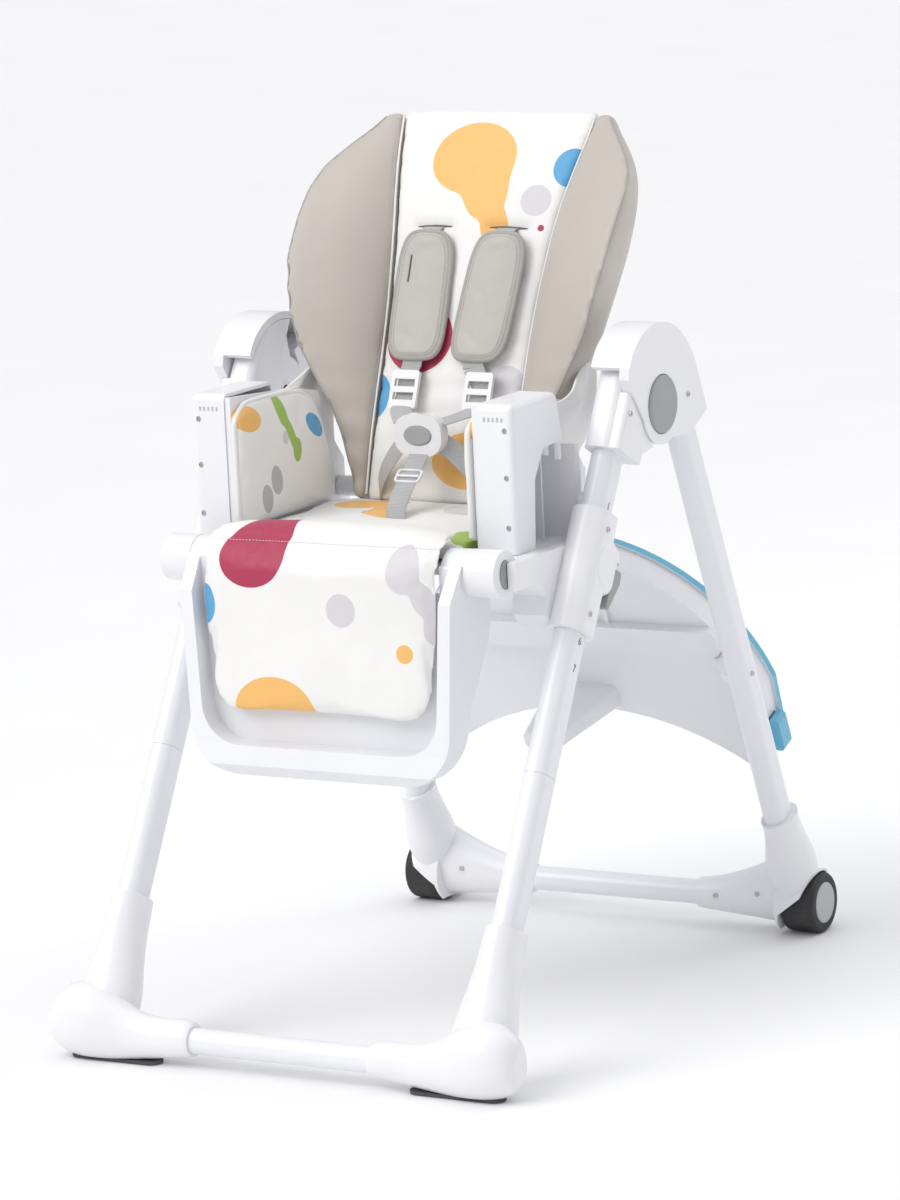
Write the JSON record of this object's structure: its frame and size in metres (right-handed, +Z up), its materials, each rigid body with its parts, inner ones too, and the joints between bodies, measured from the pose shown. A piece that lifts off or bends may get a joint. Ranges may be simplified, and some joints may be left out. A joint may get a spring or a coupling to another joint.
{
  "type": "baby high chair",
  "caption": "Folding baby high chair with height-adjustable reclining padded seat, leg rest, five-point harness, rear wheels and a removable tray hung behind its legs.",
  "frame": {"origin": "centre of the footprint on the floor, frame open and seat at its fifth height", "axes": "+Z up, -Y the side the child faces, +X the child's left"},
  "size_m": [0.604, 0.8631, 1.011],
  "materials": {
    "white_plastic": "satin white moulding",
    "white_tube": "white powder coat",
    "grey_plastic": "satin grey",
    "blue_plastic": "satin blue",
    "steel": "zinc plated",
    "tyre": "moulded tread",
    "sole_rubber": "matte",
    "pad_fabric": "coated cloth",
    "wing_fabric": "coated cloth",
    "webbing": "woven webbing"
  },
  "bodies": {
    "front_frame": {"front_leg_right": "white_tube", "front_leg_left": "white_tube", "front_lower_leg_right": "white_tube", "front_lower_leg_left": "white_tube", "front_foot_right": "white_plastic", "front_foot_left": "white_plastic", "hub_front_right": "white_plastic", "hub_front_left": "white_plastic", "front_cross_tube": "white_tube", "front_foot_soles": "sole_rubber", "hub_pins": "steel", "hub_screws": "steel"},
    "rear_frame": {"rear_leg_right": "white_tube", "rear_leg_left": "white_tube", "rear_foot_right": "white_plastic", "rear_foot_left": "white_plastic", "hub_rear_right": "white_plastic", "hub_rear_left": "white_plastic", "rear_cross_tube": "white_tube", "wheel_axles": "steel", "tray_hooks": "white_plastic", "rear_frame_screws": "steel", "fold_springs": "steel"},
    "fold_button_right": {"fold_button_right": "grey_plastic"},
    "fold_button_left": {"fold_button_left": "grey_plastic"},
    "wheel_right": {"wheel_tyre_right": "tyre", "wheel_hub_right": "grey_plastic"},
    "wheel_left": {"wheel_tyre_left": "tyre", "wheel_hub_left": "grey_plastic"},
    "seat": {"seat_shell": "white_plastic", "armrest_right": "white_plastic", "armrest_left": "white_plastic", "slider_right": "white_plastic", "slider_left": "white_plastic", "seat_pad": "pad_fabric", "seat_hinge_pins": "steel", "seat_screws": "steel", "buckle": "white_plastic", "crotch_strap": "webbing"},
    "height_lever_right": {"height_lever_right": "grey_plastic"},
    "height_lever_left": {"height_lever_left": "grey_plastic"},
    "lock_pin_right": {"lock_pin_right": "steel"},
    "lock_pin_left": {"lock_pin_left": "steel"},
    "leg_rest": {"leg_rest_shell": "white_plastic", "calf_pad": "pad_fabric"},
    "leg_rest_button_right": {"leg_rest_button_right": "grey_plastic"},
    "leg_rest_button_left": {"leg_rest_button_left": "grey_plastic"},
    "backrest": {"back_shell": "white_plastic", "back_pad": "pad_fabric", "back_wing_right": "wing_fabric", "back_wing_left": "wing_fabric", "shoulder_pads": "wing_fabric", "shoulder_straps": "webbing", "strap_adjusters": "grey_plastic"},
    "recline_lever": {"recline_lever": "grey_plastic"},
    "buckle_button": {"buckle_button": "grey_plastic"},
    "tray": {"tray_base": "white_plastic"},
    "tray_dish": {"tray_top": "white_plastic"},
    "tray_latch_right": {"tray_latch_right": "blue_plastic"},
    "tray_latch_left": {"tray_latch_left": "blue_plastic"}
  },
  "joints": [
    {"name": "frame_fold", "type": "hinge", "parent": "front_frame", "child": "rear_frame", "pos_m": [0, 0.046, 0.698], "axis": [1, 0, 0], "range_deg": [-48, 0]},
    {"name": "seat_height", "type": "slide", "parent": "front_frame", "child": "seat", "axis": [0, 0.497, 0.8678], "range_m": [-0.128, 0.064]},
    {"name": "backrest_recline", "type": "hinge", "parent": "seat", "child": "backrest", "pos_m": [0, 0.04494, 0.58741], "axis": [-1, 0, 0], "range_deg": [0, 35]},
    {"name": "leg_rest_raise", "type": "hinge", "parent": "seat", "child": "leg_rest", "pos_m": [0, -0.229, 0.549], "axis": [-1, 0, 0], "range_deg": [0, 70]},
    {"name": "fold_button_right_press", "type": "slide", "parent": "rear_frame", "child": "fold_button_right", "axis": [-1, 0, 0], "range_m": [0, 0.0035], "stiffness_N_per_m": 600, "springref_m": -0.001, "deforming": ["fold_springs"]},
    {"name": "fold_button_left_press", "type": "slide", "parent": "rear_frame", "child": "fold_button_left", "axis": [1, 0, 0], "range_m": [0, 0.0035], "stiffness_N_per_m": 600, "springref_m": -0.001},
    {"name": "wheel_right_spin", "type": "hinge", "parent": "rear_frame", "child": "wheel_right", "pos_m": [0.262, 0.391, 0.0365], "axis": [1, 0, 0], "continuous": true},
    {"name": "wheel_left_spin", "type": "hinge", "parent": "rear_frame", "child": "wheel_left", "pos_m": [-0.262, 0.391, 0.0365], "axis": [1, 0, 0], "continuous": true},
    {"name": "leg_rest_button_right_press", "type": "slide", "parent": "seat", "child": "leg_rest_button_right", "axis": [-1, 0, 0], "range_m": [0, 0.003], "stiffness_N_per_m": 300, "springref_m": -0.001},
    {"name": "leg_rest_button_left_press", "type": "slide", "parent": "seat", "child": "leg_rest_button_left", "axis": [1, 0, 0], "range_m": [0, 0.003], "stiffness_N_per_m": 300, "springref_m": -0.001},
    {"name": "buckle_release", "type": "slide", "parent": "seat", "child": "buckle_button", "axis": [0, 1, 0], "range_m": [0, 0.003], "stiffness_N_per_m": 300, "springref_m": -0.001},
    {"name": "recline_squeeze", "type": "slide", "parent": "backrest", "child": "recline_lever", "axis": [0, 0.3746, 0.9272], "range_m": [0, 0.005], "stiffness_N_per_m": 400, "springref_m": -0.001},
    {"name": "tray_lift", "type": "slide", "parent": "rear_frame", "child": "tray", "axis": [0, -0.3843, 0.9232], "range_m": [0, 0.06]},
    {"name": "tray_dish_remove", "type": "slide", "parent": "tray", "child": "tray_dish", "axis": [0, 0.9232, 0.3843], "range_m": [0, 0.05]},
    {"name": "tray_latch_right_press", "type": "slide", "parent": "tray", "child": "tray_latch_right", "axis": [-1, 0, 0], "range_m": [0, 0.003], "stiffness_N_per_m": 300, "springref_m": -0.001},
    {"name": "tray_latch_left_press", "type": "slide", "parent": "tray", "child": "tray_latch_left", "axis": [1, 0, 0], "range_m": [0, 0.003], "stiffness_N_per_m": 300, "springref_m": -0.001},
    {"name": "height_lever_right_squeeze", "type": "slide", "parent": "seat", "child": "height_lever_right", "axis": [0, 0.497, 0.8678], "range_m": [0, 0.006], "stiffness_N_per_m": 400, "springref_m": -0.001},
    {"name": "lock_pin_right_slide", "type": "slide", "parent": "seat", "child": "lock_pin_right", "axis": [0, 0.8678, -0.497], "range_m": [0, 0.0072]},
    {"name": "height_lever_left_squeeze", "type": "slide", "parent": "seat", "child": "height_lever_left", "axis": [0, 0.497, 0.8678], "range_m": [0, 0.006], "stiffness_N_per_m": 400, "springref_m": -0.001},
    {"name": "lock_pin_left_slide", "type": "slide", "parent": "seat", "child": "lock_pin_left", "axis": [0, 0.8678, -0.497], "range_m": [0, 0.0072]}
  ],
  "couplings": [
    {"joint": "lock_pin_right_slide", "follows": "height_lever_right_squeeze", "ratio": 1.1667},
    {"joint": "lock_pin_left_slide", "follows": "height_lever_left_squeeze", "ratio": 1.1667}
  ]
}
